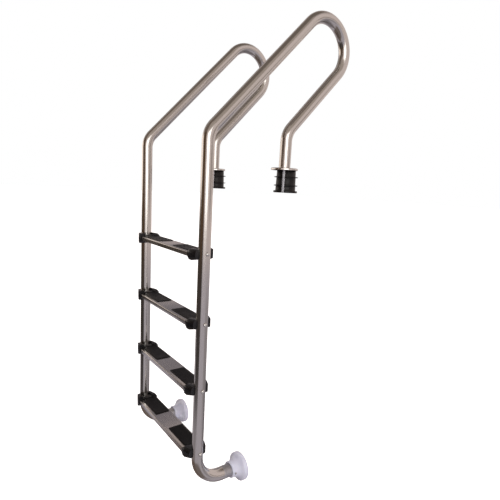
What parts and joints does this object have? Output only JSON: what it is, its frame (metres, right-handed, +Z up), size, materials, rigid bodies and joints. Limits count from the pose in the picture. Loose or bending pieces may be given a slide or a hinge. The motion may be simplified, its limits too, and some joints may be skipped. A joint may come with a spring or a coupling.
{
  "type": "pool ladder",
  "caption": "Stainless pool ladder: two bent rails with handrail loops, folded treads in plastic end caps, rubber wall feet, and split deck anchor sleeves under loose cover rings.",
  "frame": {"origin": "on the deck surface, midway between the centrelines of the two anchored legs", "axes": "+Z up along the legs, +X towards the right hand of a bather in the water facing the wall, +Y from the pool towards the deck"},
  "size_m": [0.611, 0.6689, 1.8259],
  "materials": {
    "stainless_tube": "polished stainless tube with fine drawn lines",
    "stainless_sheet": "satin stainless sheet",
    "pad_rubber": "fine-grained black grip rubber",
    "cap_plastic": "moulded black plastic, satin",
    "bolt_steel": "bright button head",
    "nut_steel": "plain",
    "foot_rubber": "milky translucent pale rubber",
    "screw_steel": "plain",
    "sleeve_plastic": "moulded black plastic",
    "cover_steel": "polished pressed sheet"
  },
  "bodies": {
    "ladder": {"rail_left": "stainless_tube", "rail_right": "stainless_tube", "step_1_tread": "stainless_sheet", "step_1_cap_left": "cap_plastic", "step_1_cap_right": "cap_plastic", "step_1_pad_left": "pad_rubber", "step_1_pad_right": "pad_rubber", "step_1_bolt_left": "bolt_steel", "step_1_bolt_right": "bolt_steel", "step_1_nut_left": "nut_steel", "step_1_nut_right": "nut_steel", "step_2_tread": "stainless_sheet", "step_2_cap_left": "cap_plastic", "step_2_cap_right": "cap_plastic", "step_2_pad_left": "pad_rubber", "step_2_pad_right": "pad_rubber", "step_2_bolt_left": "bolt_steel", "step_2_bolt_right": "bolt_steel", "step_2_nut_left": "nut_steel", "step_2_nut_right": "nut_steel", "step_3_tread": "stainless_sheet", "step_3_cap_left": "cap_plastic", "step_3_cap_right": "cap_plastic", "step_3_pad_left": "pad_rubber", "step_3_pad_right": "pad_rubber", "step_3_bolt_left": "bolt_steel", "step_3_bolt_right": "bolt_steel", "step_3_nut_left": "nut_steel", "step_3_nut_right": "nut_steel", "step_4_tread": "stainless_sheet", "step_4_cap_left": "cap_plastic", "step_4_cap_right": "cap_plastic", "step_4_pad_left": "pad_rubber", "step_4_pad_right": "pad_rubber", "step_4_bolt_left": "bolt_steel", "step_4_bolt_right": "bolt_steel", "step_4_nut_left": "nut_steel", "step_4_nut_right": "nut_steel", "foot_left": "foot_rubber", "foot_right": "foot_rubber", "foot_screw_left": "screw_steel", "foot_screw_right": "screw_steel", "anchor_sleeve_left": "sleeve_plastic", "anchor_sleeve_right": "sleeve_plastic"},
    "cover_left": {"deck_cover_left": "cover_steel"},
    "cover_right": {"deck_cover_right": "cover_steel"}
  },
  "joints": [
    {"name": "cover_left_slide", "type": "slide", "parent": "ladder", "child": "cover_left", "axis": [0, 0, 1], "range_m": [0, 0.08]},
    {"name": "cover_right_slide", "type": "slide", "parent": "ladder", "child": "cover_right", "axis": [0, 0, 1], "range_m": [0, 0.08]}
  ]
}
